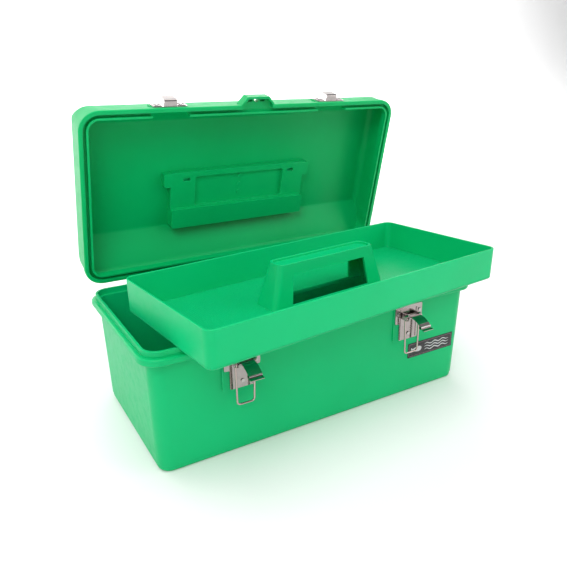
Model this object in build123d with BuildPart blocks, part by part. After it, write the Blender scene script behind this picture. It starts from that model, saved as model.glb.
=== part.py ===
from build123d import *
import math
import os

os.makedirs("parts", exist_ok=True)

# Fishing tackle box: a moulded tub, a hinged lid with a folding carry handle, a loose
# lift-out tray and two draw latches. Millimetres, +Z up, front towards -Y, origin in
# the middle of the tub's base. The lid, its handle and its fittings are modelled shut
# and then swung open; the tray is modelled square on the rim and then turned askew.

# ---- tub
box_length = 480.0
box_width = 237.0
shelf_height = 145.0        # base to the shelf that the shut lid rests on
wall = 3.0
rim_width = 9.0             # how far the rim band stands out past the tub wall
rim_band = 8.5
rim_radius = 25.0
lip_inset = 5.5             # rim's outer edge to the raised lip
lip_thickness = 2.7
lip_height = 7.0
lip_root = 0.8              # the lip's inner step starts this far below the shelf
draft_ends = 6.5            # how much narrower each end is at the base
draft_sides = 3.3
foot_height = 8.0
foot_step = 1.0
foot_round = 4.0
floor_thickness = 3.2
floor_round = 4.0
rim_round = 2.4
rim_flare = 4.0
lip_round = 0.9

# ---- lid
lid_overhang = 1.0
parting_gap = 0.4
lid_height = 50.0
lid_band = 7.0
band_step = 1.2
front_wall_height = 34.0
front_slope = 26.0
back_wall_height = 24.0
back_slope = 52.0
dome_round = 12.0
lip_clearance = 0.6
swing_clearance = 1.2        # the skirt sweeps past the lip's outside as the lid opens
bead_thickness = 2.4
bead_depth = 10.0
lid_open = 77.0

# ---- hinge
hinge_offset = 8.2          # pin axis behind the tub's rim
hinge_rise = 4.6            # pin axis above the shelf
hinge_spacing = 135.0
knuckle_radius = 4.6
hinge_pin_diameter = 4.0
lid_knuckle_length = 44.0
tub_knuckle_length = 15.0
knuckle_gap = 0.6
running_clearance = 0.08
stop_height = 8.2
stop_length = 6.0
stop_back = 2.0
stop_root = 3.0
pin_chamfer = 0.5

# ---- tray
tray_clearance = 0.5
tray_width = 200.0
tray_height = 43.4
tray_wall = 2.5
tray_draft = 1.6
tray_radius = 11.0
tray_seat_height = 110.0    # top of the ledges inside the tub's ends
ledge_length = 90.0
ledge_reach = 5.0
ledge_thickness = 3.0
tray_shift = (20.0, -59.6)
tray_turn = 6.2
rest_gap = 0.4
grip_height = 56.0          # tray's underside to the top of its handle
grip_foot = (186.0, 42.0)
grip_top = (154.0, 27.0)
grip_window = (128.0, 37.0)
grip_bar_depth = 9.0
grip_lip = 3.0
grip_corner = 8.0
window_angle = 82.0

# ---- carry handle and its recess
handle_span = 212.0
handle_axis_back = 126.0    # hinge edge of the lid to the handle's pivot
handle_grip_back = 69.0     # hinge edge of the lid to the middle of the grip
handle_leg = 12.0
handle_depth = 11.0
handle_grip_width = 22.0
handle_clearance = 1.2
pivot_room = 3.2
recess_depth = 13.0
grip_well = 7.0
recess_wall = 2.4
island_width = 150.0
island_drop = 9.0           # lid's top to the panel between the handle's legs
pivot_block = (12.0, 20.0)
handle_pin_diameter = 4.0
handle_pin_length = 26.0

handle_grip_depth = 16.0
handle_round = 2.0
pin_play = 0.4
recess_corner = 3.0
slot_size = (11.0, 5.0)
bump_places = (-16.0, -3.0, 9.0)
bump_radius = 3.0
bump_height = 1.0

# ---- hasp
hasp_base = 52.0
hasp_tip = 33.0
hasp_reach = 11.0
hasp_height = 14.0
hasp_wall = 3.0
padlock_hole = 7.0
pocket_offset = 9.45        # padlock hole's middle to each pocket's

# ---- latches and keepers
latch_spacing = 124.0
latch_gauge = 1.2
plate_top_width = 46.0
plate_wing = 7.0
plate_height = 48.0
plate_shoulder = 24.0
pad_margin = 2.0
pad_proud = 0.6
pin_reach = 8.0             # plate's back to the latch pin's axis
pin_drop = 14.0             # plate's top to the latch pin's axis
latch_pin_diameter = 3.0
pin_head_diameter = 5.0
pin_head_thickness = 1.0
ear_gap = 18.0
ear_gauge = 1.4
ear_width = 9.0
lever_width = 16.4
lever_length = 24.0
lever_droop = 14.0
lever_gauge = 1.4
lever_curl = 2.3
lever_tab = 6.0
tab_gauge = 0.98
side_clearance = 0.4
bail_wire = 2.4
eye_round = 1.08
bail_reach = 52.0
bail_corner = 4.0
bail_tip_width = 24.0
keeper_width = 46.0
keeper_height = 17.0
keeper_rise = 4.0
hook_width = 17.0
hook_reach = 9.0
hook_height = 16.0
rivet_diameter = 5.0
rivet_height = 1.2
rivet_shank = 2.6
rivet_dome = 0.54
rivet_frame = (11.0, 12.5)   # raised border round each keeper rivet
frame_line = 1.25
rivet_margin = 5.0           # plate's side to a wing rivet
wing_rivet_drop = 10.0       # plate's top to the wing rivets
foot_rivet_drop = 40.0       # plate's top to the lower rivet
keeper_rivets = ((-16.0, 8.5), (16.0, 8.5))                 # from its bottom middle
rib_width = 2.4
rib_height = 0.7
rib_round = 0.96
lever_rise = 1.4
hook_round = 2.4

# ---- name plate
label_size = (82.0, 21.5)
label_thickness = 0.5
label_corner = 1.0
label_centre = (170.0, 62.0)
glue_gap = 0.02

# ---- worked out from the above
body_length = box_length - 2 * rim_width
body_width = box_width - 2 * rim_width
base_length = body_length - 2 * draft_ends
base_width = body_width - 2 * draft_sides
body_radius = rim_radius - rim_width
cavity_length = body_length - 2 * wall
cavity_width = body_width - 2 * wall
lip_top = shelf_height + lip_height
lip_inner = lip_inset + lip_thickness
lid_base = shelf_height + parting_gap
lid_length = box_length + 2 * lid_overhang
lid_width = box_width + 2 * lid_overhang
lid_radius = rim_radius + lid_overhang
lid_top = lid_base + lid_height
lid_back = lid_width / 2
lid_front = -lid_width / 2
hinge_y = box_width / 2 + hinge_offset
hinge_z = shelf_height + hinge_rise
hinge_axis = Axis((0, hinge_y, hinge_z), (1, 0, 0))
tray_length = cavity_length - 2 * tray_clearance
plate_y = -body_width / 2 - pad_proud
latch_top = shelf_height - rim_band - rim_flare - rest_gap
pin_y = plate_y - pin_reach
pin_z = latch_top - pin_drop
plate_low_width = plate_top_width - 2 * plate_wing
wing_rivet_x = plate_top_width / 2 - rivet_margin
plate_rivets = ((-wing_rivet_x, wing_rivet_drop), (wing_rivet_x, wing_rivet_drop),
                (0.0, foot_rivet_drop))
handle_y = lid_back - handle_axis_back
grip_y = lid_back - handle_grip_back
handle_z = lid_top - handle_depth / 2
groove_outer = lid_overhang + lip_inset - swing_clearance
groove_inner = lid_overhang + lip_inner + lip_clearance
bead_inner = groove_inner + bead_thickness
hinge_pin_length = lid_knuckle_length + 2 * (knuckle_gap + tub_knuckle_length)
handle_pin_middle = handle_span / 2 + pivot_block[0] / 2 - handle_pin_length / 2 + wall
ends = (-1, 1)


def plan_block(length, width, radius, low, high, mode=Mode.ADD):
    """A block with a rounded plan between two heights."""
    with BuildSketch(Plane.XY.offset(low)) as plan:
        RectangleRounded(length, width, radius)
    extrude(plan.sketch, amount=high - low, mode=mode)


def drafted_block(low_size, low, high_size, high, mode=Mode.ADD):
    """A block whose rounded plan, (length, width, radius), changes from bottom to top."""
    with BuildSketch(Plane.XY.offset(low)) as bottom:
        RectangleRounded(*low_size)
    with BuildSketch(Plane.XY.offset(high)) as top:
        RectangleRounded(*high_size)
    loft([bottom.sketch, top.sketch], mode=mode)


def opened(part):
    """A piece of the lid, swung from shut to open about the hinge pins."""
    return part.rotate(hinge_axis, -lid_open)


def drill(points, diameter, plane, depth):
    """Round holes of one diameter, both ways from a plane."""
    with BuildSketch(plane) as holes:
        with Locations(*points):
            Circle(diameter / 2)
    extrude(holes.sketch, amount=depth, both=True, mode=Mode.SUBTRACT)


def save(part, name):
    part.label = name
    export_step(part, f"parts/{name}.step")


# ---------------------------------------------------------------- tub
def wall_y(height):
    """The front wall's outer face at a height, from its draft."""
    share = (height - foot_height) / (shelf_height - foot_height)
    return -(base_width + share * (body_width - base_width)) / 2


def end_x(height):
    """The end wall's inner face at a height, from its draft."""
    share = (height - foot_height) / (shelf_height - foot_height)
    return (base_length + share * (body_length - base_length)) / 2 - wall


with BuildPart() as hollow:
    drafted_block((base_length - 2 * wall, base_width - 2 * wall, body_radius - wall),
                  floor_thickness, (cavity_length, cavity_width, body_radius - wall),
                  shelf_height)
    fillet(hollow.faces().sort_by(Axis.Z)[0].edges(), radius=floor_round)

with BuildPart() as tub:
    plan_block(base_length - 2 * foot_step, base_width - 2 * foot_step,
               body_radius - foot_step, 0, foot_height + foot_step)
    fillet(tub.faces().sort_by(Axis.Z)[0].edges(), radius=foot_round)
    drafted_block((base_length, base_width, body_radius), foot_height,
                  (body_length, body_width, body_radius), shelf_height)
    plan_block(box_length, box_width, rim_radius, shelf_height - rim_band, shelf_height)
    band = tub.faces().filter_by(Plane.XY).group_by(Axis.Z)[-1][0]
    fillet(band.outer_wire().edges(), radius=rim_round)
    underside = tub.faces().filter_by(Plane.XY).filter_by(
        lambda face: abs(face.center().Z - (shelf_height - rim_band)) < lip_root)[0]
    fillet(underside.outer_wire().edges(), radius=rim_round)
    fillet(underside.inner_wires()[0].edges(), radius=rim_flare)
    plan_block(box_length - 2 * lip_inset, box_width - 2 * lip_inset, rim_radius - lip_inset,
               shelf_height, lip_top)
    # a flat pad behind each latch, where the drafted wall falls away
    for side in ends:
        with BuildSketch(Plane.XZ.offset(-plate_y)) as pad:
            with Locations((side * latch_spacing, latch_top - plate_height / 2)):
                RectangleRounded(plate_top_width + 2 * pad_margin,
                                 plate_height + pad_margin, pad_margin * 2)
        extrude(pad.sketch, amount=-(pad_proud + draft_sides))
    # the tab that meets the lid's hasp housing
    with BuildSketch(Plane.XY.offset(shelf_height)) as tab:
        with BuildLine():
            Polyline((-hasp_base / 2, -box_width / 2 + rim_round * 2),
                     (-hasp_base / 2, -box_width / 2),
                     (-hasp_tip / 2, -box_width / 2 - hasp_reach),
                     (hasp_tip / 2, -box_width / 2 - hasp_reach),
                     (hasp_base / 2, -box_width / 2),
                     (hasp_base / 2, -box_width / 2 + rim_round * 2), close=True)
        make_face()
        with Locations((0, -box_width / 2 - hasp_reach / 2)):
            Circle(padlock_hole / 2, mode=Mode.SUBTRACT)
    extrude(tab.sketch, amount=-rim_band / 2)
    # hinge knuckles, two for each pin, with the heel that stops the lid
    for side in ends:
        for end in ends:
            middle = side * hinge_spacing + end * (
                lid_knuckle_length / 2 + knuckle_gap + tub_knuckle_length / 2)
            with BuildSketch(Plane.YZ.offset(middle)) as knuckle:
                with BuildLine():
                    Polyline((box_width / 2 - rim_round * 2, shelf_height - rim_band + rim_round),
                             (hinge_y, hinge_z - knuckle_radius),
                             (hinge_y, hinge_z),
                             (lid_back + lip_clearance, shelf_height - lip_root),
                             (box_width / 2 - rim_round * 2, shelf_height - lip_root), close=True)
                make_face()
                with Locations((hinge_y, hinge_z)):
                    Circle(knuckle_radius)
                with Locations((hinge_y + stop_length / 2 + stop_back,
                                hinge_z + (stop_height - stop_root) / 2)):
                    Rectangle(stop_length, stop_height + stop_root)
            extrude(knuckle.sketch, amount=tub_knuckle_length / 2, both=True)
    # hollow the tub
    plan_block(box_length - 2 * lip_inner, box_width - 2 * lip_inner, rim_radius - lip_inner,
               shelf_height - lip_root, lip_top + 1, mode=Mode.SUBTRACT)
    add(hollow.part, mode=Mode.SUBTRACT)
    fillet(tub.faces().filter_by(Plane.XY).sort_by(Axis.Z)[-1].edges(), radius=lip_round)
    # ledges that the seated tray stands on
    for side in ends:
        with BuildSketch(Plane.XY.offset(tray_seat_height)) as ledge:
            with Locations((side * (end_x(tray_seat_height) + wall / 2), 0)):
                Rectangle(ledge_reach + wall / 2, ledge_length,
                          align=(Align.MAX if side > 0 else Align.MIN, Align.CENTER))
        extrude(ledge.sketch, amount=-ledge_thickness)
    # holes for the hinge pins and for the latch rivets
    drill([(hinge_y, hinge_z)], hinge_pin_diameter + running_clearance, Plane.YZ, box_length / 2)
    drill([(side * latch_spacing + x, latch_top - z) for side in ends for x, z in plate_rivets],
          rivet_shank + running_clearance, Plane.XZ.offset(-plate_y), 2 * wall)
save(tub.part, "tub")


# ---------------------------------------------------------------- lid
def dome(inset, low):
    """The lid's hull, drawn in by inset: a ridge section with rounded ends and plan."""
    with BuildPart() as hull:
        with BuildSketch(Plane.YZ) as section:
            with BuildLine():
                Polyline((lid_back - band_step, lid_base - lid_height),
                         (lid_back - band_step, lid_base + back_wall_height),
                         (lid_back - back_slope, lid_top),
                         (lid_front + front_slope, lid_top),
                         (lid_front + band_step, lid_base + front_wall_height),
                         (lid_front + band_step, lid_base - lid_height), close=True)
            make_face()
            offset(amount=-inset)
            fillet(section.vertices().sort_by(Axis.Y)[2:], radius=dome_round - inset)
        extrude(section.sketch, amount=lid_length / 2, both=True)
        with BuildSketch(Plane.XZ) as front:
            with Locations((0, lid_top - inset)):
                Rectangle(lid_length - 2 * band_step - 2 * inset, 2 * lid_height,
                          align=(Align.CENTER, Align.MAX))
            fillet(front.vertices().sort_by(Axis.Y)[2:], radius=dome_round - inset)
        extrude(front.sketch, amount=lid_width, both=True, mode=Mode.INTERSECT)
        plan_block(lid_length - 2 * band_step - 2 * inset, lid_width - 2 * band_step - 2 * inset,
                   lid_radius - band_step - inset, low, lid_top + 1, mode=Mode.INTERSECT)
    return hull.part


def rim_ring(outer, inner, high, mode=Mode.ADD):
    """A ring on the lid's rim plane between two distances in from the lid's outline."""
    with BuildSketch(Plane.XY.offset(lid_base)) as ring:
        RectangleRounded(lid_length - 2 * outer, lid_width - 2 * outer, lid_radius - outer)
        RectangleRounded(lid_length - 2 * inner, lid_width - 2 * inner, lid_radius - inner,
                         mode=Mode.SUBTRACT)
    extrude(ring.sketch, amount=high, mode=mode)


def hasp_plan(inset, back):
    """The hasp housing's plan: a trapezium from the line y = back out to its tip."""
    with BuildSketch(Plane.XY.offset(lid_base)) as plan:
        with BuildLine():
            Polyline((-hasp_base / 2 + inset, back),
                     (-hasp_base / 2 + inset, lid_front),
                     (-hasp_tip / 2 + inset / 2, lid_front - hasp_reach + inset),
                     (hasp_tip / 2 - inset / 2, lid_front - hasp_reach + inset),
                     (hasp_base / 2 - inset, lid_front),
                     (hasp_base / 2 - inset, back), close=True)
        make_face()
    return plan.sketch


def band_plan(half_length, near, far, height):
    """A rectangle centred on x = 0 between two places across the lid."""
    with BuildSketch(Plane.XY.offset(height)) as plan:
        with Locations((0, (near + far) / 2)):
            RectangleRounded(2 * half_length, abs(near - far), recess_corner)
    return plan.sketch


recess_half = handle_span / 2 + handle_clearance
recess_front = handle_y - handle_depth / 2 - pivot_room
recess_back = grip_y + handle_grip_width / 2 + handle_clearance
well_front = grip_y - handle_grip_width / 2 - handle_clearance
island_front = recess_front + pivot_room
island_back = well_front - handle_clearance
boss_depth = recess_depth + recess_wall
hull = dome(0, lid_base)
cavity = dome(wall, lid_base - wall)

with BuildPart() as lid:
    add(hull)
    plan_block(lid_length, lid_width, lid_radius, lid_base, lid_base + lid_band)
    rim_face = lid.faces().filter_by(Plane.XY).sort_by(Axis.Z)[0]
    fillet(rim_face.outer_wire().edges(), radius=rim_round / 2)
    add(cavity, mode=Mode.SUBTRACT)
    rim_ring(band_step + wall / 2, bead_inner, bead_depth)
    rim_ring(groove_outer, groove_inner, lip_height + lip_clearance, mode=Mode.SUBTRACT)
    # flat pads under the keepers, and the rim opened behind them
    for side in ends:
        with BuildSketch(Plane.XZ.offset(-lid_front)) as pad:
            with Locations((side * latch_spacing, lid_base + lid_band / 2)):
                Rectangle(keeper_width + 2 * pad_margin,
                          keeper_rise + keeper_height + pad_margin - lid_band / 2,
                          align=(Align.CENTER, Align.MIN))
        extrude(pad.sketch, amount=-2 * band_step)
        with BuildSketch(Plane.XY.offset(lid_base)) as notch:
            with Locations((side * latch_spacing, lid_front + groove_outer)):
                Rectangle(keeper_width + 2 * pad_margin, bead_inner - groove_outer + 1,
                          align=(Align.CENTER, Align.MIN))
        extrude(notch.sketch, amount=bead_depth, mode=Mode.SUBTRACT)
    # hasp housing: open below, with a padlock hole through its web and a pocket each side
    extrude(hasp_plan(0, lid_front + band_step * 2), amount=hasp_height)
    extrude(hasp_plan(hasp_wall, lid_front + groove_outer + 1), amount=hasp_height / 2,
            mode=Mode.SUBTRACT)
    with BuildSketch(Plane.XY.offset(lid_base)) as pockets:
        with Locations((0, lid_front - hasp_reach / 2)):
            Circle(padlock_hole / 2)
    extrude(pockets.sketch, amount=2 * hasp_height, mode=Mode.SUBTRACT)
    with BuildSketch(Plane.XY.offset(lid_base)) as pockets:
        for side in ends:
            with Locations((side * pocket_offset, lid_front - hasp_reach / 2)):
                Rectangle(padlock_hole, hasp_reach - 2 * hasp_wall)
    extrude(pockets.sketch, amount=hasp_height - hasp_wall, mode=Mode.SUBTRACT)
    # the carry handle's recess: a boss hung under the top panel, then cut from above
    extrude(band_plan(recess_half + recess_wall, recess_front - recess_wall,
                      recess_back + recess_wall, lid_top - wall / 2),
            amount=wall / 2 - boss_depth)
    extrude(band_plan(recess_half + recess_wall, well_front - recess_wall,
                      recess_back + recess_wall, lid_top - wall / 2),
            amount=wall / 2 - boss_depth - grip_well)
    extrude(band_plan(recess_half + pivot_block[0], handle_y - pivot_block[1] / 2,
                      handle_y + pivot_block[1] / 2, lid_top - wall / 2),
            amount=wall / 2 - boss_depth)
    extrude(band_plan(island_width / 2 - recess_wall, island_front + recess_wall,
                      island_back - recess_wall, lid_top - island_drop - recess_wall),
            amount=-boss_depth, mode=Mode.SUBTRACT)
    extrude(band_plan(island_width / 2, island_front, island_back, lid_top),
            amount=-island_drop, mode=Mode.SUBTRACT)
    with BuildSketch(Plane.XY.offset(lid_top)) as recess:
        add(band_plan(recess_half, recess_front, recess_back, lid_top))
        add(band_plan(island_width / 2, island_front, island_back, lid_top), mode=Mode.SUBTRACT)
    extrude(recess.sketch, amount=-recess_depth, mode=Mode.SUBTRACT)
    extrude(band_plan(recess_half, well_front, recess_back, lid_top),
            amount=-recess_depth - grip_well, mode=Mode.SUBTRACT)
    with BuildSketch(Plane.XY.offset(lid_top)) as slots:
        with Locations(*[(side * (island_width / 2 + slot_size[0]), handle_y) for side in ends]):
            Rectangle(*slot_size)
    extrude(slots.sketch, amount=-2 * boss_depth, mode=Mode.SUBTRACT)
    with BuildSketch(Plane.XY.offset(lid_top - island_drop - recess_wall)) as bumps:
        with Locations(*[(0, (island_front + island_back) / 2 + place) for place in bump_places]):
            Circle(bump_radius)
    extrude(bumps.sketch, amount=-bump_height)
    # hinge knuckles
    for side in ends:
        with BuildSketch(Plane.YZ.offset(side * hinge_spacing)) as knuckle:
            with BuildLine():
                Polyline((lid_back - band_step * 2, lid_base), (hinge_y, hinge_z - knuckle_radius),
                         (hinge_y, hinge_z + knuckle_radius),
                         (lid_back - band_step * 2, lid_base + lid_band), close=True)
            make_face()
            with Locations((hinge_y, hinge_z)):
                Circle(knuckle_radius)
        extrude(knuckle.sketch, amount=lid_knuckle_length / 2, both=True)
    # holes for the hinge pins, the handle's pins and the keeper rivets
    drill([(hinge_y, hinge_z)], hinge_pin_diameter + 2 * running_clearance, Plane.YZ,
          box_length / 2)
    for side in ends:
        drill([(handle_y, handle_z)], handle_pin_diameter + running_clearance,
              Plane.YZ.offset(side * handle_pin_middle), handle_pin_length / 2 + pin_play)
    drill([(side * latch_spacing + x, lid_base + keeper_rise + z)
           for side in ends for x, z in keeper_rivets],
          rivet_shank + running_clearance, Plane.XZ.offset(-lid_front), 2 * wall)
save(opened(lid.part), "lid")

# ---------------------------------------------------------------- hinge pins
for side, name in zip(ends, ("left", "right")):
    with BuildPart(Plane.YZ.offset(side * hinge_spacing)) as hinge_pin:
        with Locations((hinge_y, hinge_z)):
            Cylinder(hinge_pin_diameter / 2, hinge_pin_length)
        chamfer(hinge_pin.edges(), length=pin_chamfer)
    save(hinge_pin.part, f"hinge_pin_{name}")

# ---------------------------------------------------------------- carry handle
leg_x = island_width / 2 + handle_clearance + handle_leg / 2
barrel_end = handle_span / 2
with BuildPart() as carry_handle:
    for side in ends:
        with BuildSketch(Plane.YZ.offset(side * leg_x)) as leg:
            with Locations(((handle_y + grip_y) / 2, handle_z)):
                Rectangle(grip_y - handle_y, handle_depth)
        extrude(leg.sketch, amount=handle_leg / 2, both=True)
    fillet(carry_handle.edges().filter_by(Axis.Y), radius=handle_round)
    for side in ends:
        with BuildSketch(Plane.YZ.offset(side * barrel_end)) as barrel_end_face:
            with Locations((handle_y, handle_z)):
                Circle(handle_depth / 2)
        extrude(barrel_end_face.sketch, amount=side * (leg_x - handle_leg / 2 - barrel_end))
    with BuildSketch(Plane.YZ) as grip:
        with Locations((grip_y, lid_top - handle_grip_depth / 2)):
            Ellipse(handle_grip_width / 2, handle_grip_depth / 2)
    extrude(grip.sketch, amount=handle_span / 2, both=True)
    drill([(handle_y, handle_z)], handle_pin_diameter + 2 * running_clearance, Plane.YZ,
          handle_span)
save(opened(carry_handle.part), "carry_handle")

for side, name in zip(ends, ("left", "right")):
    with BuildPart(Plane.YZ.offset(side * handle_pin_middle)) as handle_pin:
        with Locations((handle_y, handle_z)):
            Cylinder(handle_pin_diameter / 2, handle_pin_length)
        chamfer(handle_pin.edges(), length=pin_chamfer)
    save(opened(handle_pin.part), f"handle_pin_{name}")

# ---------------------------------------------------------------- tray
tray_low = (tray_length - 2 * tray_draft, tray_width - 2 * tray_draft, tray_radius - tray_draft)
tray_high = (tray_length, tray_width, tray_radius)
tray_base = lip_top + rest_gap


def thinner(size, inset):
    return size[0] - 2 * inset, size[1] - 2 * inset, size[2] - inset


def hump(inset, top, mode=Mode.ADD):
    """The tray handle's tapered block, drawn in by inset."""
    with BuildSketch(Plane.XY.offset(tray_base)) as foot:
        RectangleRounded(grip_foot[0] - 2 * inset, grip_foot[1] - 2 * inset, grip_corner)
    with BuildSketch(Plane.XY.offset(tray_base + top)) as head:
        RectangleRounded(grip_top[0] - 2 * inset, grip_top[1] - 2 * inset, grip_corner)
    loft([foot.sketch, head.sketch], mode=mode)


with BuildPart() as tray:
    drafted_block(tray_low, tray_base, tray_high, tray_base + tray_height)
    fillet(tray.faces().sort_by(Axis.Z)[0].edges(), radius=tray_wall)
    drafted_block(thinner(tray_low, tray_wall), tray_base + tray_wall,
                  thinner(tray_high, tray_wall), tray_base + tray_height, mode=Mode.SUBTRACT)
    fillet(tray.faces().sort_by(Axis.Z)[-1].edges(), radius=tray_wall / 3)
    # handle: a hollow tapered hump, open below, with a window through both sides
    hump(0, grip_height)
    hump(tray_wall, grip_height - grip_bar_depth, mode=Mode.SUBTRACT)
    with BuildSketch(Plane.XZ) as window:
        with Locations((0, tray_base + tray_wall * 2)):
            Trapezoid(grip_window[0], grip_window[1], window_angle,
                      align=(Align.CENTER, Align.MIN))
    extrude(window.sketch, amount=grip_foot[1], both=True, mode=Mode.SUBTRACT)
    with BuildSketch(Plane.XY.offset(tray_base + grip_height)) as dish:
        RectangleRounded(grip_top[0] - 2 * tray_wall, grip_top[1] - 2 * tray_wall, grip_corner)
    extrude(dish.sketch, amount=-grip_lip, mode=Mode.SUBTRACT)
    fillet(tray.faces().filter_by(Plane.XY).sort_by(Axis.Z)[-1].edges(), radius=tray_wall / 3)
tray_stand = Location((tray_shift[0], tray_shift[1], 0), (0, 0, tray_turn))
save(tray.part.moved(tray_stand), "tray")


# ---------------------------------------------------------------- latches and keepers
def rivets(points, plane, grip):
    """Domed rivets whose heads sit on a plane, with shanks that reach back by grip."""
    with BuildPart() as group:
        with BuildSketch(plane) as heads:
            with Locations(*points):
                Circle(rivet_diameter / 2)
        extrude(heads.sketch, amount=rivet_height)
        fillet(group.edges(), radius=rivet_dome)
        with BuildSketch(plane) as shanks:
            with Locations(*points):
                Circle(rivet_shank / 2)
        extrude(shanks.sketch, amount=-grip)
    return group.part


bail_x = ear_gap / 2 + ear_gauge + side_clearance + bail_wire / 2
pin_half = bail_x + bail_wire / 2 + side_clearance
for side, name in zip(ends, ("left", "right")):
    middle = side * latch_spacing
    with BuildPart() as latch_plate:
        with BuildSketch(Plane.XZ.offset(-plate_y)) as outline:
            with Locations((middle, latch_top)):
                Rectangle(plate_top_width, plate_shoulder, align=(Align.CENTER, Align.MAX))
                Rectangle(plate_low_width, plate_height, align=(Align.CENTER, Align.MAX))
            fillet(outline.vertices(), radius=pad_margin)
        extrude(outline.sketch, amount=latch_gauge)
        # pressed ribs down both sides and across the wings
        with BuildSketch(Plane.XZ.offset(-plate_y + latch_gauge)) as ribs:
            with Locations(*[(middle + end * (plate_low_width / 2 - rib_width), latch_top -
                              plate_height / 2 - pad_margin) for end in ends]):
                RectangleRounded(rib_width, plate_height - 3 * pad_margin, rib_round)
        extrude(ribs.sketch, amount=rib_height)
        for end in ends:
            centre = middle + end * (ear_gap + ear_gauge) / 2
            with BuildSketch(Plane.YZ.offset(centre)) as ear:
                with Locations((pin_y, pin_z)):
                    Circle(ear_width / 2)
                with Locations(((pin_y + plate_y - latch_gauge) / 2, pin_z)):
                    Rectangle(plate_y - latch_gauge - pin_y, ear_width)
            extrude(ear.sketch, amount=ear_gauge / 2, both=True)
        drill([(pin_y, pin_z)], latch_pin_diameter + running_clearance,
              Plane.YZ.offset(middle), plate_top_width / 2)
        spots = [(middle + x, latch_top - z) for x, z in plate_rivets]
        drill(spots, rivet_shank + running_clearance, Plane.XZ.offset(-plate_y),
              2 * latch_gauge)
    save(latch_plate.part, f"latch_plate_{name}")
    save(rivets(spots, Plane.XZ.offset(-plate_y + latch_gauge + glue_gap),
                latch_gauge + pad_proud + wall), f"latch_rivets_{name}")

    with BuildPart(Plane.YZ.offset(middle)) as latch_pin:
        with Locations((pin_y, pin_z)):
            Cylinder(latch_pin_diameter / 2, 2 * pin_half)
            with Locations(*[(0, 0, end * (pin_half + pin_head_thickness / 2)) for end in ends]):
                Cylinder(pin_head_diameter / 2, pin_head_thickness)
    save(latch_pin.part, f"latch_pin_{name}")

    droop = math.radians(lever_droop)
    lever_plane = Plane(origin=(middle, pin_y, pin_z), z_dir=(-1, 0, 0),
                        x_dir=(0, -math.cos(droop), -math.sin(droop)))
    barrel = latch_pin_diameter / 2 + lever_gauge + running_clearance
    with BuildPart() as latch_lever:
        with BuildSketch(lever_plane) as profile:
            with BuildLine() as blade:
                ThreePointArc((0, barrel - lever_gauge / 2), (lever_length / 2, barrel + lever_rise),
                              (lever_length, lever_gauge))
            trace(blade.line, line_width=lever_gauge)
            Circle(barrel)
            with Locations((lever_length, lever_gauge - lever_curl + lever_gauge / 2)):
                Circle(lever_curl)
                Circle(lever_curl - lever_gauge / 2, mode=Mode.SUBTRACT)
            with Locations((lever_length + lever_curl / 2, -lever_curl + lever_gauge)):
                Rectangle(lever_tab, tab_gauge, align=(Align.MIN, Align.CENTER))
        extrude(profile.sketch, amount=lever_width / 2, both=True)
        drill([(0, 0)], latch_pin_diameter + 2 * running_clearance, lever_plane, lever_width)
    save(latch_lever.part, f"latch_lever_{name}")

    eye_radius = latch_pin_diameter / 2 + running_clearance + bail_wire
    with BuildPart() as latch_bail:
        for end in ends:
            with BuildSketch(Plane.YZ.offset(middle + end * bail_x)) as eye:
                with Locations((pin_y, pin_z)):
                    Circle(eye_radius)
            extrude(eye.sketch, amount=bail_wire / 2, both=True)
        fillet(latch_bail.edges(), radius=eye_round)
        with BuildLine() as wire:
            FilletPolyline((middle - bail_x, pin_y, pin_z - eye_radius / 2),
                           (middle - bail_tip_width / 2 + bail_wire / 2, pin_y,
                            pin_z - bail_reach + bail_wire / 2),
                           (middle + bail_tip_width / 2 - bail_wire / 2, pin_y,
                            pin_z - bail_reach + bail_wire / 2),
                           (middle + bail_x, pin_y, pin_z - eye_radius / 2), radius=bail_corner)
        with BuildSketch(Plane(origin=wire.line @ 0, z_dir=wire.line % 0)) as section:
            Circle(bail_wire / 2)
        sweep(section.sketch, path=wire.line)
        drill([(pin_y, pin_z)], latch_pin_diameter + 2 * running_clearance,
              Plane.YZ.offset(middle), plate_top_width / 2)
    save(latch_bail.part, f"latch_bail_{name}")

    with BuildPart() as keeper:
        with BuildSketch(Plane.XZ.offset(-lid_front)) as outline:
            with Locations((middle, lid_base + keeper_rise + keeper_height / 2)):
                RectangleRounded(keeper_width, keeper_height, pad_margin)
        extrude(outline.sketch, amount=latch_gauge)
        with BuildSketch(Plane.XZ.offset(-lid_front + latch_gauge)) as frames:
            for x, z in keeper_rivets:
                with Locations((middle + x, lid_base + keeper_rise + z)):
                    RectangleRounded(*rivet_frame, pad_margin)
                    RectangleRounded(rivet_frame[0] - 2 * frame_line, rivet_frame[1] - 2 * frame_line,
                                     pad_margin / 2,
                                     mode=Mode.SUBTRACT)
        extrude(frames.sketch, amount=rib_height)
        with BuildSketch(Plane.YZ.offset(middle)) as hook:
            with BuildLine() as strap:
                FilletPolyline((lid_front, lid_base + keeper_rise + ear_gauge),
                               (lid_front - hook_reach, lid_base + keeper_rise + ear_gauge),
                               (lid_front - hook_reach - ear_gauge,
                                lid_base + keeper_rise + hook_height), radius=hook_round)
            trace(strap.line, line_width=ear_gauge)
        extrude(hook.sketch, amount=hook_width / 2, both=True)
        spots = [(middle + x, lid_base + keeper_rise + z) for x, z in keeper_rivets]
        drill(spots, rivet_shank + running_clearance, Plane.XZ.offset(-lid_front),
              2 * latch_gauge)
    # the strap's root must not run back into the lid
    with BuildPart() as trimmed_keeper:
        add(keeper.part)
        split(bisect_by=Plane.XZ.offset(-lid_front), keep=Keep.TOP)
    save(opened(trimmed_keeper.part), f"keeper_{name}")
    save(opened(rivets(spots, Plane.XZ.offset(-lid_front + latch_gauge + glue_gap),
                       latch_gauge + wall)), f"keeper_rivets_{name}")

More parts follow.
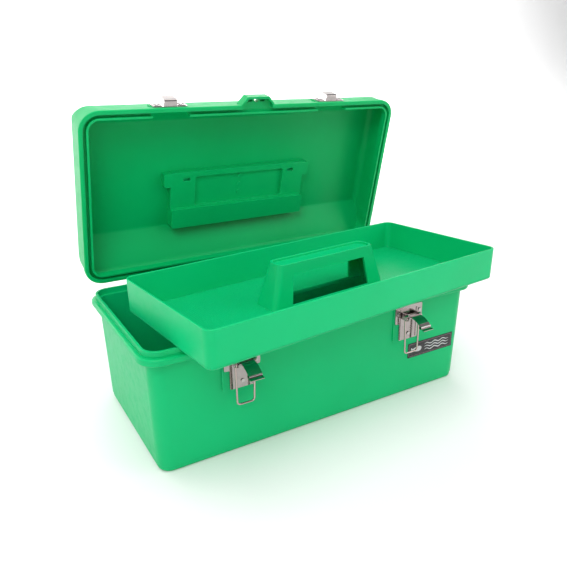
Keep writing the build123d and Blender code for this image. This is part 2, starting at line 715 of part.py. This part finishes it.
# ---------------------------------------------------------------- name plate
lean = math.atan2(draft_sides, shelf_height - foot_height)
label_plane = Plane(origin=(label_centre[0], wall_y(label_centre[1]) - glue_gap, label_centre[1]),
                    x_dir=(1, 0, 0), z_dir=(0, -math.cos(lean), -math.sin(lean)))
with BuildPart() as name_plate:
    with BuildSketch(label_plane) as outline:
        RectangleRounded(*label_size, radius=label_corner)
    extrude(outline.sketch, amount=label_thickness)
save(name_plate.part, "name_plate")
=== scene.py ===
import math

import bpy
import numpy as np
from mathutils import Matrix, Vector


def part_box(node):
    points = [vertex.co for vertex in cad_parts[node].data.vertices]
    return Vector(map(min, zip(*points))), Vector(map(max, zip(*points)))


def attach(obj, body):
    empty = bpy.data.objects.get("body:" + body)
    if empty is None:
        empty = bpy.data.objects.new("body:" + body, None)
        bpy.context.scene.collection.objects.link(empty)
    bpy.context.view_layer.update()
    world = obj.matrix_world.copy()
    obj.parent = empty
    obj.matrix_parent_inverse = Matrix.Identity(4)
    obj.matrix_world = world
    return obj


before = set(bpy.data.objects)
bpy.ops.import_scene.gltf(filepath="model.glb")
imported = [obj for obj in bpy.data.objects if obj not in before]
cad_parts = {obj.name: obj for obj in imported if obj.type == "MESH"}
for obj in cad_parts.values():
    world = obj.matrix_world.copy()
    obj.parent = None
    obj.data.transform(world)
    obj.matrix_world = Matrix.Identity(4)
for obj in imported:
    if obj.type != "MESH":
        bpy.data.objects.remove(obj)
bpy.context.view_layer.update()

# ---------------------------------------------------------------- surfaces


def surface(name, function, u_count, v_count, close_u=False):
    """A mesh through function(u, v), u and v running from 0 to 1; function gives x, y, z arrays."""
    u = np.linspace(0.0, 1.0, u_count, endpoint=not close_u)
    v = np.linspace(0.0, 1.0, v_count)
    uu, vv = np.meshgrid(u, v, indexing="ij")
    points = np.stack(function(uu.ravel(), vv.ravel()), axis=-1)
    columns = u_count if close_u else u_count - 1
    i, j = np.meshgrid(np.arange(columns), np.arange(v_count - 1), indexing="ij")
    i = i.ravel()
    j = j.ravel()
    k = (i + 1) % u_count
    faces = np.stack([i * v_count + j, k * v_count + j, k * v_count + j + 1, i * v_count + j + 1], axis=-1)
    mesh = bpy.data.meshes.new(name)
    mesh.from_pydata(points.tolist(), [], faces.tolist())
    mesh.validate()
    mesh.polygons.foreach_set("use_smooth", [True] * len(mesh.polygons))
    made = bpy.data.objects.new(name, mesh)
    bpy.context.scene.collection.objects.link(made)
    return made


# ---------------------------------------------------------------- shader nodes


def node(tree, kind, **settings):
    """One node with its properties set."""
    made = tree.nodes.new(kind)
    for key, value in settings.items():
        setattr(made, key, value)
    return made


def math_node(tree, operation, a, b=None):
    """A maths node fed by sockets or numbers; gives its output."""
    made = node(tree, "ShaderNodeMath", operation=operation)
    for index, value in enumerate((a, b)):
        if value is None:
            continue
        if isinstance(value, (int, float)):
            made.inputs[index].default_value = value
        else:
            tree.links.new(value, made.inputs[index])
    return made.outputs[0]


def ramp(tree, value, low, high, to_low=0.0, to_high=1.0):
    """A clamped map of value from low..high to to_low..to_high."""
    made = node(tree, "ShaderNodeMapRange", clamp=True)
    tree.links.new(value, made.inputs["Value"])
    for key, number in (("From Min", low), ("From Max", high), ("To Min", to_low), ("To Max", to_high)):
        made.inputs[key].default_value = number
    return made.outputs["Result"]


def noise(tree, coords, scale, detail, rough):
    """Noise over the coordinates; gives its value."""
    made = node(tree, "ShaderNodeTexNoise")
    made.inputs["Scale"].default_value = scale
    made.inputs["Detail"].default_value = detail
    made.inputs["Roughness"].default_value = rough
    tree.links.new(coords, made.inputs["Vector"])
    return made.outputs["Fac"]


def mix_colour(tree, factor, a, b):
    """Colour mix; a and b are sockets or rgb tuples."""
    made = node(tree, "ShaderNodeMix", data_type="RGBA")
    tree.links.new(factor, made.inputs[0])
    for socket, value in ((made.inputs[6], a), (made.inputs[7], b)):
        if isinstance(value, tuple):
            socket.default_value = (*value, 1.0)
        else:
            tree.links.new(value, socket)
    return made.outputs[2]


def scaled(colour, share):
    """An rgb tuple times a share, no brighter than 1."""
    return tuple(min(1.0, share * c) for c in colour)


# ---------------------------------------------------------------- node groups


def new_group(name, inputs, outputs):
    """A node group with float or vector sockets; gives the tree and its two end nodes."""
    tree = bpy.data.node_groups.new(name, "ShaderNodeTree")
    for label, kind, value in inputs:
        socket = tree.interface.new_socket(name=label, in_out="INPUT", socket_type=kind)
        if value is not None:
            socket.default_value = value
    for label, kind in outputs:
        tree.interface.new_socket(name=label, in_out="OUTPUT", socket_type=kind)
    return tree, tree.nodes.new("NodeGroupInput"), tree.nodes.new("NodeGroupOutput")


def edge_wear_and_highlight_group():
    """Edge mask, for wear on metal and foil and for a painted highlight on plastic: 1 where a rounded
    normal leaves the true one, broken up by noise, and 0 on flat faces.
    """
    tree, start, end = new_group(
        "edge_wear_and_highlight",
        [("Vector", "NodeSocketVector", None), ("Radius", "NodeSocketFloat", 0.0012)],
        [("Mask", "NodeSocketFloat")])
    bevel = node(tree, "ShaderNodeBevel", samples=4)
    tree.links.new(start.outputs["Radius"], bevel.inputs["Radius"])
    geometry = node(tree, "ShaderNodeNewGeometry")
    dot = node(tree, "ShaderNodeVectorMath", operation="DOT_PRODUCT")
    tree.links.new(bevel.outputs["Normal"], dot.inputs[0])
    tree.links.new(geometry.outputs["Normal"], dot.inputs[1])
    bent = ramp(tree, dot.outputs["Value"], low=0.99, high=0.82)
    grain = noise(tree, start.outputs["Vector"], scale=260.0, detail=4.0, rough=0.6)
    broken = ramp(tree, grain, low=0.35, high=0.62)
    tree.links.new(math_node(tree, "MULTIPLY", bent, broken), end.inputs["Mask"])
    return tree


def relief_group():
    """Fine grain plus a slow waviness, as one height in metres."""
    tree, start, end = new_group(
        "moulded_relief",
        [("Vector", "NodeSocketVector", None), ("Grain", "NodeSocketFloat", 0.00002),
         ("Wave", "NodeSocketFloat", 0.0002)],
        [("Height", "NodeSocketFloat")])
    fine = noise(tree, start.outputs["Vector"], scale=2400.0, detail=2.0, rough=0.5)
    slow = noise(tree, start.outputs["Vector"], scale=14.0, detail=1.0, rough=0.4)
    fine_height = math_node(tree, "MULTIPLY", fine, start.outputs["Grain"])
    slow_height = math_node(tree, "MULTIPLY", slow, start.outputs["Wave"])
    tree.links.new(math_node(tree, "ADD", fine_height, slow_height), end.inputs["Height"])
    return tree


EDGE_WEAR_AND_HIGHLIGHT = edge_wear_and_highlight_group()
RELIEF = relief_group()


def group(tree, made_from, coords, **values):
    """A node group in use, fed with the coordinates and with its number inputs set."""
    made = node(tree, "ShaderNodeGroup", node_tree=made_from)
    tree.links.new(coords, made.inputs["Vector"])
    for key, value in values.items():
        made.inputs[key].default_value = value
    return made


# ---------------------------------------------------------------- materials


def start_material(name):
    """A material with its Principled shader and object coordinates."""
    material = bpy.data.materials.new(name)
    material.use_nodes = True
    tree = material.node_tree
    shader = tree.nodes["Principled BSDF"]
    coords = node(tree, "ShaderNodeTexCoord").outputs["Object"]
    return material, tree, shader, coords


def colour_with_edges(tree, shader, coords, base, edge_colour, radius, share):
    """The base colour, turned to the edge colour by a share of the edge mask: worn edges on metal and foil,
    a painted highlight on plastic.
    """
    edges = group(tree, EDGE_WEAR_AND_HIGHLIGHT, coords, Radius=radius)
    mask = math_node(tree, "MULTIPLY", edges.outputs["Mask"], share)
    tree.links.new(mix_colour(tree, mask, base, edge_colour), shader.inputs["Base Color"])


def rougher_by(tree, shader, mask, roughness, extra):
    """Roughness from its own value, where the mask is 0, up by the extra, where it is 1."""
    tree.links.new(ramp(tree, mask, 0.0, 1.0, roughness, roughness + extra), shader.inputs["Roughness"])


def bend_normal(tree, shader, height, strength):
    """Bends the shader's normal by a height in metres, at the given strength."""
    bump = node(tree, "ShaderNodeBump")
    bump.inputs["Strength"].default_value = strength
    bump.inputs["Distance"].default_value = 1.0
    tree.links.new(height, bump.inputs["Height"])
    tree.links.new(bump.outputs["Normal"], shader.inputs["Normal"])


# the tray lies askew on the rim, and its floor is embossed with a fine cross-hatch
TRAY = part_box("tray")
TRAY_MIDDLE = (TRAY[0] + TRAY[1]) / 2
TRAY_TURN = math.radians(-6.2)
TRAY_FOOT = float(TRAY[0][2])
HATCH_PITCH = 0.003
HATCH_HEIGHT = 0.0006
HATCH_FROM = (0.0006, 0.0016)   # above the tray's foot, where the hatch fades in
HATCH_TO = (0.0042, 0.0034)     # above the tray's foot, where it has gone and where it starts to go


def grid_lines(tree, coords):
    """The tray floor's cross-hatch: 1 on the crests of two crossed sines, 0 above and below the floor."""
    turned = node(tree, "ShaderNodeVectorRotate", rotation_type="Z_AXIS")
    turned.inputs["Center"].default_value = tuple(TRAY_MIDDLE)
    turned.inputs["Angle"].default_value = TRAY_TURN
    tree.links.new(coords, turned.inputs["Vector"])
    part = node(tree, "ShaderNodeSeparateXYZ")
    tree.links.new(turned.outputs[0], part.inputs[0])
    crests = []
    for along in (part.outputs["X"], part.outputs["Y"]):
        phase = math_node(tree, "MULTIPLY", along, 2 * math.pi / HATCH_PITCH)
        crests.append(ramp(tree, math_node(tree, "SINE", phase), low=0.55, high=0.95))
    lines = math_node(tree, "MAXIMUM", *crests)
    below_top = ramp(tree, part.outputs["Z"], *(TRAY_FOOT + rise for rise in HATCH_TO))
    above_foot = ramp(tree, part.outputs["Z"], *(TRAY_FOOT + rise for rise in HATCH_FROM))
    return math_node(tree, "MULTIPLY", lines, math_node(tree, "MULTIPLY", below_top, above_foot))


# pale green for the painted highlight along the plastic's edges
HIGHLIGHT_GREEN = (0.08, 0.90, 0.45)


def plastic(name, colour, deep, roughness, grid=False, scatter=0.1):
    """Satin moulded plastic: two mottled greens, edges lightened as a painted highlight, scuffs, grain and
    a slow waviness.
    """
    material, tree, shader, coords = start_material(name)
    mottle = ramp(tree, noise(tree, coords, scale=9.0, detail=3.0, rough=0.5), low=0.3, high=0.7)
    base = mix_colour(tree, mottle, colour, deep)
    height = group(tree, RELIEF, coords, Grain=0.000018, Wave=0.00035).outputs["Height"]
    if grid:
        lines = grid_lines(tree, coords)
        base = mix_colour(tree, math_node(tree, "MULTIPLY", lines, 0.5), base, scaled(deep, 0.72))
        height = math_node(tree, "ADD", height, math_node(tree, "MULTIPLY", lines, HATCH_HEIGHT))
    # painted highlight: the plastic's edges are lightened towards the pale green
    painted_highlight_green = tuple(0.6 * c + 0.4 * pale for c, pale in zip(colour, HIGHLIGHT_GREEN))
    colour_with_edges(tree, shader, coords, base, painted_highlight_green, radius=0.0011, share=0.8)
    scuff = ramp(tree, noise(tree, coords, scale=75.0, detail=5.0, rough=0.7), low=0.45, high=0.75)
    rougher_by(tree, shader, scuff, roughness, 0.12)
    shader.inputs["IOR"].default_value = 1.49
    shader.inputs["Specular IOR Level"].default_value = 0.2
    shader.inputs["Subsurface Weight"].default_value = scatter
    shader.inputs["Subsurface Radius"].default_value = (0.2, 1.0, 0.5)
    shader.inputs["Subsurface Scale"].default_value = 0.004
    bend_normal(tree, shader, height, strength=0.6)
    return material


def metal(name, colour, roughness, brush=0.0):
    """Bare or plated metal: smudges that darken and dull it, bright worn edges and a fine grain."""
    material, tree, shader, coords = start_material(name)
    smudge = ramp(tree, noise(tree, coords, scale=160.0, detail=4.0, rough=0.6), low=0.35, high=0.75)
    tone = mix_colour(tree, math_node(tree, "MULTIPLY", smudge, 0.35), colour, scaled(colour, 0.6))
    colour_with_edges(tree, shader, coords, tone, scaled(colour, 1.15), radius=0.0004, share=0.5)
    shader.inputs["Metallic"].default_value = 1.0
    rougher_by(tree, shader, smudge, roughness, 0.12)
    relief = group(tree, RELIEF, coords, Grain=0.000008 + brush, Wave=0.0)
    bend_normal(tree, shader, relief.outputs["Height"], strength=0.5)
    return material


def foil(name, colour, roughness):
    """Printed foil: gloss ink with pale dust that dulls it, rubbed edges and a faint orange-peel."""
    material, tree, shader, coords = start_material(name)
    dust = ramp(tree, noise(tree, coords, scale=300.0, detail=5.0, rough=0.7), low=0.55, high=0.8)
    pale = tuple(min(1.0, c + 0.12) for c in colour)
    tone = mix_colour(tree, math_node(tree, "MULTIPLY", dust, 0.15), colour, pale)
    colour_with_edges(tree, shader, coords, tone, pale, radius=0.0005, share=0.4)
    rougher_by(tree, shader, dust, roughness, 0.2)
    relief = group(tree, RELIEF, coords, Grain=0.00001, Wave=0.00005)
    bend_normal(tree, shader, relief.outputs["Height"], strength=0.4)
    return material


TUB_GREEN = plastic("tub_green", (0.001, 0.500, 0.172), (0.0005, 0.470, 0.158), 0.36)
LID_GREEN = plastic("lid_green", (0.0005, 0.470, 0.138), (0.0002, 0.440, 0.124), 0.36)
TRAY_GREEN = plastic("tray_green", (0.001, 0.540, 0.190), (0.0005, 0.505, 0.172), 0.33,
                     grid=True, scatter=0.14)
HANDLE_GREEN = plastic("handle_green", (0.001, 0.500, 0.172), (0.0005, 0.470, 0.158), 0.36)
# the two nickel greys are darker than bare nickel: painted shade standing in for dark surroundings that the
# polished metal reflects
NICKEL = metal("nickel", (0.40, 0.355, 0.345), 0.12)
BRIGHT_NICKEL = metal("bright_nickel", (0.42, 0.385, 0.375), 0.05)
WIRE_NICKEL = metal("wire_nickel", (0.52, 0.40, 0.39), 0.12)
RIVET_NICKEL = metal("rivet_nickel", (0.52, 0.48, 0.47), 0.16)
PIN_STEEL = metal("pin_steel", (0.50, 0.49, 0.48), 0.26, brush=0.00001)
LABEL_BLACK = foil("label_black", (0.010, 0.010, 0.012), 0.22)
LABEL_PINK = foil("label_line", (0.26, 0.15, 0.17), 0.3)
LABEL_SILVER = foil("label_silver", (0.55, 0.56, 0.56), 0.26)

MATERIAL_OF = {
    "tub": TUB_GREEN,
    "lid": LID_GREEN,
    "tray": TRAY_GREEN,
    "carry_handle": HANDLE_GREEN,
    "name_plate": LABEL_BLACK,
    "hinge_pin": PIN_STEEL,
    "handle_pin": PIN_STEEL,
    "latch_plate": NICKEL,
    "latch_rivets": RIVET_NICKEL,
    "latch_pin": PIN_STEEL,
    "latch_lever": BRIGHT_NICKEL,
    "latch_bail": WIRE_NICKEL,
    "keeper": BRIGHT_NICKEL,
    "keeper_rivets": RIVET_NICKEL,
}


def dress(name, cad_node):
    """Gives a CAD node the material for its kind, left and right alike."""
    kind = name.removesuffix("_left").removesuffix("_right")
    for place in cad_node.material_slots:
        place.material = MATERIAL_OF[kind]
    if not cad_node.material_slots:
        cad_node.data.materials.append(MATERIAL_OF[kind])


for node_name, node_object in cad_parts.items():
    dress(node_name, node_object)

# ---------------------------------------------------------------- label printing

# the name plate's front stands just proud of the front wall and leans with its draft
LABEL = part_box("name_plate")
LABEL_MIDDLE = (LABEL[0] + LABEL[1]) / 2
LABEL_HALF = (LABEL[1] - LABEL[0]) / 2
LABEL_LEAN = 3.3 / 137.0        # the front wall's draft, outwards over its height
LABEL_FOOT_Y = LABEL[0][1] + LABEL_LEAN * 2 * LABEL_HALF[2]
INK = 0.00006                   # how far the printing stands off the plate

BORDER_INSET = 0.0017
BORDER_WIDTH = 0.0004
BORDER_OUTER_ROUND = 0.0009
BORDER_INNER_ROUND = 0.0006

FISH_HALF_LENGTH = 0.0095
FISH_PLACE = -0.026
SPINE_SHARE = 0.98              # the spine's length as a share of the fish's

WAVE_LEFT = -0.011
WAVE_RIGHT = 0.034
WAVE_WIDTH = 0.0016
WAVE_SWING = 0.0012
WAVE_TURNS = 3
WAVE_HEIGHTS = (0.0042, 0.0, -0.0042)


def on_label(x, z):
    """Points of the printing: x and z from the label's middle, y just before its leaning front."""
    y = LABEL_FOOT_Y - LABEL_LEAN * (z + LABEL_HALF[2]) - INK
    return LABEL_MIDDLE[0] + x, y, LABEL_MIDDLE[2] + z


def printed(name, outline_in, outline_out, steps):
    """A flat printed band between two closed outlines, each a function of the share round it."""

    def band(u, v):
        """Straight from the inner outline at v 0 to the outer at v 1, taken clockwise to face outwards."""
        inner_x, inner_z = outline_in(1 - u)
        outer_x, outer_z = outline_out(1 - u)
        return on_label(inner_x + (outer_x - inner_x) * v, inner_z + (outer_z - inner_z) * v)

    return surface(name, band, steps, 2, close_u=True)


def rounded_outline(half_x, half_z, corner):
    """A rectangle with rounded corners, as a function of the share of a turn round its middle."""

    def at(u):
        """Where the turn's ray meets the rectangle, pulled onto the corner's circle in a corner."""
        angle = 2 * np.pi * u
        c = np.cos(angle)
        s = np.sin(angle)
        reach = np.minimum(half_x / np.maximum(np.abs(c), 1e-9), half_z / np.maximum(np.abs(s), 1e-9))
        x = c * reach
        z = s * reach
        over_x = np.abs(x) - (half_x - corner)
        over_z = np.abs(z) - (half_z - corner)
        in_corner = (over_x > 0) & (over_z > 0)
        length = np.hypot(over_x, over_z) + 1e-12
        x = np.where(in_corner, np.sign(x) * (half_x - corner + over_x / length * corner), x)
        z = np.where(in_corner, np.sign(z) * (half_z - corner + over_z / length * corner), z)
        return x, z

    return at


def inset_outline(inset, corner):
    """The label's own outline, moved in."""
    return rounded_outline(LABEL_HALF[0] - inset, LABEL_HALF[2] - inset, corner)


def fish_outline(u):
    """A plain fish round its middle: a lens body with a forked tail, x the cosine of the turn.

    Body height is the turn's sine, thinned towards the tail; the tail opens straight from x -0.7.
    """
    angle = 2 * np.pi * u
    x = np.cos(angle)
    body = np.sin(angle) * (0.36 + 0.20 * x)
    tail = np.where(x < -0.7, np.sign(np.sin(angle)) * (-0.7 - x) * 1.25, 0.0)
    return FISH_PLACE + FISH_HALF_LENGTH * x, FISH_HALF_LENGTH * (body + tail)


def fish_spine(u):
    """The line that the fish closes onto: the outline's x a little shortened, at its middle height."""
    return FISH_PLACE + FISH_HALF_LENGTH * SPINE_SHARE * np.cos(2 * np.pi * u), np.zeros_like(u)


def wave_strip(name, middle_z):
    """A printed wavy rule: a strip of one thickness along a sine, tapering to both ends."""

    def at(u, v):
        """x runs along the strip; z is a sine plus the tapered half thickness."""
        x = WAVE_LEFT + (WAVE_RIGHT - WAVE_LEFT) * u
        taper = np.sin(np.pi * u) ** 0.35
        z = middle_z + WAVE_SWING * np.sin(2 * np.pi * WAVE_TURNS * u) + (v - 0.5) * WAVE_WIDTH * taper
        return on_label(x, z)

    return surface(name, at, 160, 2)


border = printed("label_border", inset_outline(BORDER_INSET + BORDER_WIDTH, BORDER_INNER_ROUND),
                 inset_outline(BORDER_INSET, BORDER_OUTER_ROUND), steps=400)
border.data.materials.append(LABEL_PINK)
fish = printed("label_fish", fish_spine, fish_outline, steps=200)
waves = [wave_strip(f"label_wave_{i}", height) for i, height in enumerate(WAVE_HEIGHTS)]
for piece in [fish, *waves]:
    piece.data.materials.append(LABEL_SILVER)
for piece in [border, fish, *waves]:
    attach(piece, "tub")

# ---------------------------------------------------------------- floor and lights


def floor_surface(u, v):
    """A flat floor that sweeps up behind the box in a quarter circle, then on as a wall."""
    width = 16.0
    length = 14.0
    front = 3.5
    flat = 6.0
    bend = 2.0
    below_box = 0.0002
    run = v * length
    arc = bend * np.pi / 2
    turn = np.clip((run - flat) / bend, 0.0, np.pi / 2)
    y = np.minimum(run, flat) + bend * np.sin(turn)
    z = bend * (1 - np.cos(turn)) + np.maximum(run - flat - arc, 0.0)
    return (u - 0.5) * width, y - front, z - below_box


floor = surface("floor", floor_surface, 3, 80)
floor_material = bpy.data.materials.new("floor_white")
floor_material.use_nodes = True
floor_shader = floor_material.node_tree.nodes["Principled BSDF"]
floor_shader.inputs["Base Color"].default_value = (0.93, 0.93, 0.93, 1)
floor_shader.inputs["Roughness"].default_value = 0.7
floor.data.materials.append(floor_material)


def area_light(name, place, aim, size, watts):
    """A rectangular soft light aimed at a point."""
    data = bpy.data.lights.new(name, "AREA")
    data.shape = "RECTANGLE"
    data.size, data.size_y = size
    data.energy = watts
    light = bpy.data.objects.new(name, data)
    light.location = place
    light.rotation_mode = "QUATERNION"
    light.rotation_quaternion = (Vector(aim) - Vector(place)).to_track_quat("-Z", "Y")
    bpy.context.scene.collection.objects.link(light)


BOX_MIDDLE = (0.0, 0.0, 0.16)
area_light("key", (-1.3, -1.5, 1.9), BOX_MIDDLE, (1.3, 1.3), 30)
area_light("fill", (1.7, -1.5, 1.1), BOX_MIDDLE, (1.6, 1.6), 15)
area_light("top", (0.0, -0.2, 2.2), BOX_MIDDLE, (2.0, 1.6), 22)
area_light("low_left", (-1.8, 0.0, 0.7), BOX_MIDDLE, (1.2, 1.2), 3)
area_light("backdrop_left", (-2.5, 2.2, 3.0), (-2.0, 5.0, 0.9), (4.0, 2.0), 170)
area_light("backdrop_right", (2.5, 2.2, 3.0), (2.5, 5.0, 0.9), (4.0, 2.0), 200)

world = bpy.data.worlds.new("studio")
world.use_nodes = True
sky = world.node_tree.nodes["Background"]
sky.inputs["Color"].default_value = (1.0, 1.0, 1.0, 1)
sky.inputs["Strength"].default_value = 0.36
bpy.context.scene.world = world
bpy.context.scene.view_settings.view_transform = "Standard"

# ---------------------------------------------------------------- camera

# the camera stands before the box and to its left, looks at the target and is rolled a little
AZIMUTH = math.radians(-29.35)
ELEVATION = math.radians(15.33)
ROLL = math.radians(-0.85)
DISTANCE = 0.7712
TARGET = Vector((-0.0248, 0.0, 0.2158))

back = Vector((math.sin(AZIMUTH) * math.cos(ELEVATION), -math.cos(AZIMUTH) * math.cos(ELEVATION),
               math.sin(ELEVATION)))
right = (-back).cross(Vector((0, 0, 1))).normalized()
up = right.cross(-back).normalized()
rolled_right = right * math.cos(ROLL) + up * math.sin(ROLL)
rolled_up = -right * math.sin(ROLL) + up * math.cos(ROLL)

camera_data = bpy.data.cameras.new("camera")
camera_data.lens = 37.05
camera_data.sensor_width = 36.0
camera_data.shift_x = 0.0259
camera_data.shift_y = -0.0750
camera_data.clip_start = 0.05
camera = bpy.data.objects.new("camera", camera_data)
camera.matrix_world = Matrix((rolled_right, rolled_up, back)).transposed().to_4x4()
camera.location = TARGET + back * DISTANCE
bpy.context.scene.collection.objects.link(camera)
bpy.context.scene.camera = camera
